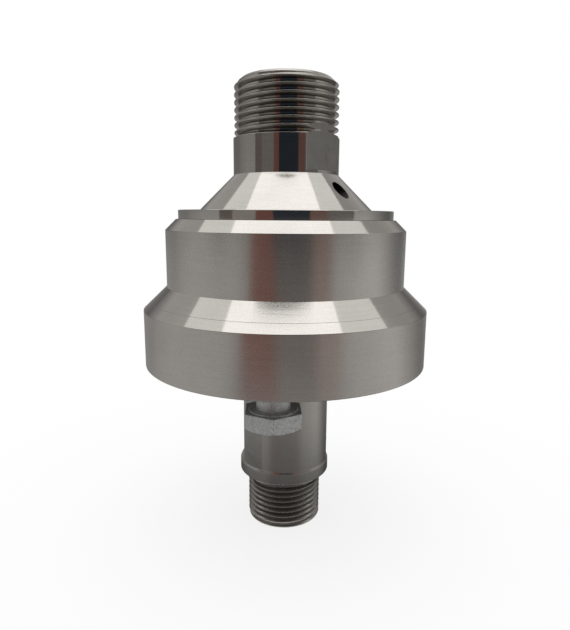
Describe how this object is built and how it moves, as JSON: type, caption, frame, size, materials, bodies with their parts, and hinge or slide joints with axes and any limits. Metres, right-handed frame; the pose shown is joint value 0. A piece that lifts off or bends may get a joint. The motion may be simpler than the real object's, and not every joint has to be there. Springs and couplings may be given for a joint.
{
  "type": "hydraulic rotary union",
  "caption": "High-pressure hydraulic rotary union: a hollow shaft turns on tapered roller bearings in a stepped round housing, fed through a threaded neck with a sprung face seal.",
  "frame": {"origin": "centre of the shaft's lower end face", "axes": "+Z along the shaft towards the inlet neck, -Y towards the hexagon screw in the underside"},
  "size_m": [0.074, 0.074, 0.117],
  "materials": {
    "turned_stainless": "bright, finely turned",
    "shaft_steel": "ground, slightly dull",
    "zinc_plated_steel": "matt zinc plate",
    "bearing_steel": "ground",
    "cage_steel": "pressed sheet",
    "spring_steel": "drawn wire",
    "seal_carbide": "lapped",
    "seal_rubber": "moulded",
    "white_fluoroplastic": "skived"
  },
  "bodies": {
    "stator": {"inlet_head": "turned_stainless", "main_housing": "turned_stainless", "head_o_ring": "seal_rubber", "cup_shim": "bearing_steel", "shaft_lip_seal": "seal_rubber", "lip_garter_spring": "spring_steel", "torque_stop_screw": "zinc_plated_steel", "lower_bearing_cup": "bearing_steel", "upper_bearing_cup": "bearing_steel", "seal_spring": "spring_steel"},
    "rotor": {"shaft": "shaft_steel", "lower_bearing_cone": "bearing_steel", "upper_bearing_cone": "bearing_steel", "turning_seal_ring": "seal_carbide", "turning_ring_o_ring": "seal_rubber"},
    "lower_roller_set": {"lower_rollers": "bearing_steel", "lower_roller_cage": "cage_steel"},
    "upper_roller_set": {"upper_rollers": "bearing_steel", "upper_roller_cage": "cage_steel"},
    "seal_float": {"seal_carrier": "shaft_steel", "still_seal_ring": "seal_carbide", "carrier_key_pins": "bearing_steel", "carrier_o_ring": "seal_rubber", "carrier_backup_ring": "white_fluoroplastic"}
  },
  "joints": [
    {"name": "shaft_spin", "type": "hinge", "parent": "stator", "child": "rotor", "pos_m": [0, 0, 0.063], "axis": [0, 0, 1], "continuous": true},
    {"name": "lower_rollers_spin", "type": "hinge", "parent": "stator", "child": "lower_roller_set", "pos_m": [0, 0, 0.0635], "axis": [0, 0, 1], "continuous": true},
    {"name": "upper_rollers_spin", "type": "hinge", "parent": "stator", "child": "upper_roller_set", "pos_m": [0, 0, 0.0795], "axis": [0, 0, 1], "continuous": true},
    {"name": "seal_slide", "type": "slide", "parent": "stator", "child": "seal_float", "axis": [0, 0, 1], "range_m": [0, 0.0006], "stiffness_N_per_m": 2000, "springref_m": -0.002, "deforming": ["seal_spring"]}
  ],
  "couplings": [
    {"joint": "lower_rollers_spin", "follows": "shaft_spin", "ratio": 0.42997},
    {"joint": "upper_rollers_spin", "follows": "shaft_spin", "ratio": 0.42296}
  ]
}
